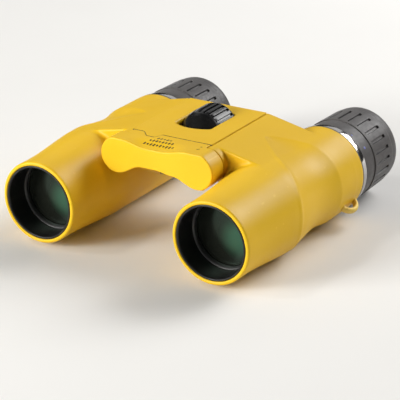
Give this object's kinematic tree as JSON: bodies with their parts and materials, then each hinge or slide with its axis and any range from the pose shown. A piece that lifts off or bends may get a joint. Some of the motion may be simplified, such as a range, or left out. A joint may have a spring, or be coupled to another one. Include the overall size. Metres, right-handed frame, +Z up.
{
  "type": "binoculars",
  "caption": "Compact folding roof-prism binoculars with a double-hinged bridge, a centre focus wheel, a dioptre ring, twist-up eyecups and strap ears",
  "frame": {"origin": "middle of the base: on the floor plane under the barrels, midway between them and midway along the length", "axes": "+X to the right barrel seen from the eyepieces' far side (the front), +Y from the objectives to the eyepieces, +Z up to the deck"},
  "size_m": [0.1084, 0.109, 0.042],
  "materials": {
    "yellow_plastic": "satin rubberised paint",
    "black_metal": "satin black",
    "black_plastic": "matte",
    "wheel_plastic": "semi-gloss",
    "grip_rubber": "matte rubber",
    "chrome_trim": "polished",
    "coated_glass": "green anti-reflection coating",
    "optical_glass": "clear",
    "alloy": "die-cast",
    "screw_steel": "turned",
    "bronze": "sintered"
  },
  "bodies": {
    "bridge": {"front_bridge_cover": "yellow_plastic", "bridge_deck": "yellow_plastic", "bridge_frame": "alloy", "bottom_cover": "yellow_plastic", "bottom_cover_screws": "screw_steel", "rear_link_plate": "black_metal", "rear_link_screws": "screw_steel", "left_hinge_pin": "screw_steel", "right_hinge_pin": "screw_steel", "hinge_washers": "black_plastic", "focus_bushes": "bronze"},
    "focus_wheel": {"focus_wheel": "wheel_plastic", "focus_screw": "screw_steel"},
    "focus_carriage": {"focus_carriage": "black_plastic"},
    "left_half": {"left_housing": "yellow_plastic", "left_strap_ear": "yellow_plastic", "left_objective_cell": "black_metal", "left_objective_lens": "coated_glass", "left_retaining_ring": "black_metal", "left_prism_mount": "black_plastic", "left_half_prism": "optical_glass", "left_roof_prism": "optical_glass", "left_eyepiece_tube": "black_metal", "left_trim_ring": "chrome_trim", "left_eye_lens": "coated_glass", "left_eyepiece_collar": "grip_rubber", "left_field_lens": "optical_glass"},
    "left_focus_cell": {"left_focus_cell": "black_metal", "left_focus_lens": "optical_glass"},
    "left_guide_ring": {"left_guide_ring": "screw_steel"},
    "left_eyecup": {"left_eyecup_sleeve": "black_plastic", "left_eyecup": "grip_rubber"},
    "right_half": {"right_housing": "yellow_plastic", "right_strap_ear": "yellow_plastic", "right_objective_cell": "black_metal", "right_objective_lens": "coated_glass", "right_retaining_ring": "black_metal", "right_prism_mount": "black_plastic", "right_half_prism": "optical_glass", "right_roof_prism": "optical_glass", "right_eyepiece_tube": "black_metal", "right_trim_ring": "chrome_trim", "right_eye_lens": "coated_glass"},
    "right_focus_cell": {"right_focus_cell": "black_metal", "right_focus_lens": "optical_glass"},
    "right_guide_ring": {"right_guide_ring": "screw_steel"},
    "right_eyecup": {"right_eyecup_sleeve": "black_plastic", "right_eyecup": "grip_rubber"},
    "right_dioptre_ring": {"right_dioptre_ring": "grip_rubber"},
    "right_dioptre_cell": {"right_dioptre_cell": "black_metal", "right_field_lens": "optical_glass"}
  },
  "joints": [
    {"name": "focus_wheel_turn", "type": "hinge", "parent": "bridge", "child": "focus_wheel", "pos_m": [0, 0.0005, 0.033], "axis": [0, 1, 0], "range_deg": [-198, 198]},
    {"name": "focus_carriage_slide", "type": "slide", "parent": "bridge", "child": "focus_carriage", "axis": [0, 1, 0], "range_m": [-0.00187, 0.00187]},
    {"name": "left_fold", "type": "hinge", "parent": "bridge", "child": "left_half", "pos_m": [-0.017, -0.0045, 0.0319], "axis": [0, -1, 0], "range_deg": [0, 45]},
    {"name": "left_focus_slide", "type": "slide", "parent": "left_half", "child": "left_focus_cell", "axis": [0, 1, 0], "range_m": [-0.00187, 0.00187]},
    {"name": "left_eyecup_lift", "type": "slide", "parent": "left_half", "child": "left_guide_ring", "axis": [0, 1, 0], "range_m": [0, 0.006]},
    {"name": "left_eyecup_twist", "type": "hinge", "parent": "left_guide_ring", "child": "left_eyecup", "pos_m": [-0.0362, 0.0405, 0.0173], "axis": [0, 1, 0], "range_deg": [0, 120]},
    {"name": "right_fold", "type": "hinge", "parent": "bridge", "child": "right_half", "pos_m": [0.017, -0.0045, 0.0319], "axis": [0, 1, 0], "range_deg": [0, 45]},
    {"name": "right_focus_slide", "type": "slide", "parent": "right_half", "child": "right_focus_cell", "axis": [0, 1, 0], "range_m": [-0.00187, 0.00187]},
    {"name": "right_eyecup_lift", "type": "slide", "parent": "right_half", "child": "right_guide_ring", "axis": [0, 1, 0], "range_m": [0, 0.006]},
    {"name": "right_eyecup_twist", "type": "hinge", "parent": "right_guide_ring", "child": "right_eyecup", "pos_m": [0.0362, 0.0405, 0.0173], "axis": [0, 1, 0], "range_deg": [0, 120]},
    {"name": "right_dioptre_turn", "type": "hinge", "parent": "right_half", "child": "right_dioptre_ring", "pos_m": [0.0362, 0.0325, 0.0173], "axis": [0, 1, 0], "range_deg": [-50, 50]},
    {"name": "right_dioptre_slide", "type": "slide", "parent": "right_half", "child": "right_dioptre_cell", "axis": [0, 1, 0], "range_m": [-0.0008, 0.0008]}
  ],
  "couplings": [
    {"joint": "focus_carriage_slide", "follows": "focus_wheel_turn", "m_per_rad": 0.00054},
    {"joint": "left_focus_slide", "follows": "focus_wheel_turn", "m_per_rad": 0.00054},
    {"joint": "left_eyecup_lift", "follows": "left_eyecup_twist", "m_per_rad": 0.00286},
    {"joint": "right_focus_slide", "follows": "focus_wheel_turn", "m_per_rad": 0.00054},
    {"joint": "right_eyecup_lift", "follows": "right_eyecup_twist", "m_per_rad": 0.00286},
    {"joint": "right_dioptre_slide", "follows": "right_dioptre_turn", "m_per_rad": 0.00091}
  ]
}
